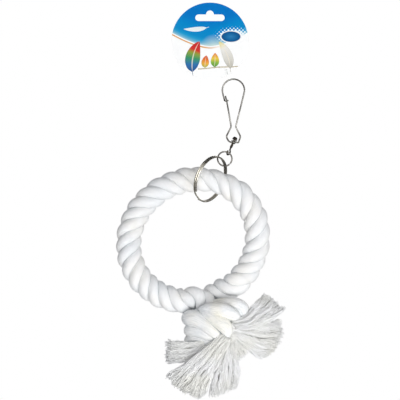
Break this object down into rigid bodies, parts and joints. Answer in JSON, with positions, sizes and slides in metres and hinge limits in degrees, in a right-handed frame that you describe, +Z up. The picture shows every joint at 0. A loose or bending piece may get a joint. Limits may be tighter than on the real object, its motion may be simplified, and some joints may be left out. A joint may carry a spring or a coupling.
{
  "type": "rope ring bird swing",
  "caption": "Thick twisted cotton rope tied into a perch ring with frayed ends, hung on a split ring, link ring, swivel and sprung wire snap hook that also carries a round header card.",
  "frame": {"origin": "inside top of the hook's bend, where it hangs on a cage bar", "axes": "+Z up, +X to the right in the picture, +Y away from its viewer, along the bar that the hook hangs on"},
  "size_m": [0.1694, 0.0737, 0.3937],
  "materials": {
    "hook_nickel": "bright nickel plate on spring wire",
    "gate_nickel": "bright nickel plate on spring wire",
    "swivel_nickel": "nickel plate with a warm tint",
    "bead_nickel": "dulled nickel plate",
    "link_nickel": "bright nickel plate",
    "split_ring_nickel": "nickel plate on spring steel",
    "cotton_rope": "soft bleached cotton, laid in strands",
    "frayed_cotton": "loose cotton yarn with cut ends",
    "printed_card": "coated printed card",
    "clear_nylon": "clear nylon"
  },
  "bodies": {
    "hook": {"hook_wire": "hook_nickel"},
    "gate": {"hook_gate": "gate_nickel"},
    "card": {"header_card": "printed_card", "card_tie": "clear_nylon"},
    "swivel": {"swivel_post": "swivel_nickel", "swivel_bead": "bead_nickel"},
    "link": {"link_ring": "link_nickel"},
    "split": {"split_ring": "split_ring_nickel"},
    "rope": {"rope_strand_1": "cotton_rope", "rope_strand_2": "cotton_rope", "rope_strand_3": "cotton_rope", "right_tassel_upper": "frayed_cotton", "right_tassel_middle": "frayed_cotton", "right_tassel_lower": "frayed_cotton", "lower_tassel_left": "frayed_cotton", "lower_tassel_middle": "frayed_cotton", "lower_tassel_right": "frayed_cotton"}
  },
  "joints": [
    {"name": "gate_open", "type": "hinge", "parent": "hook", "child": "gate", "pos_m": [-0.00271, 0, -0.04404], "axis": [0, 1, 0], "range_deg": [0, 20], "stiffness_Nm_per_rad": 0.3},
    {"name": "card_flop", "type": "hinge", "parent": "hook", "child": "card", "pos_m": [-0.0038, 0, 0.00013], "axis": [0.9397, 0, 0.342], "range_deg": [-120, 120]},
    {"name": "swivel_spin", "type": "hinge", "parent": "hook", "child": "swivel", "pos_m": [0, 0, -0.0622], "axis": [-0.4226, 0, -0.9063], "continuous": true},
    {"name": "link_swing", "type": "hinge", "parent": "swivel", "child": "link", "pos_m": [-0.00493, 0, -0.07278], "axis": [0.8572, 0, -0.515], "range_deg": [-40, 40]},
    {"name": "split_swing", "type": "hinge", "parent": "link", "child": "split", "pos_m": [-0.01227, 0, -0.07844], "axis": [0.4625, 0.8161, -0.3465], "range_deg": [-30, 30]},
    {"name": "rope_swing", "type": "hinge", "parent": "split", "child": "rope", "pos_m": [-0.02303, 0.00286, -0.10165], "axis": [0.9668, 0, -0.2555], "range_deg": [-45, 45]}
  ]
}
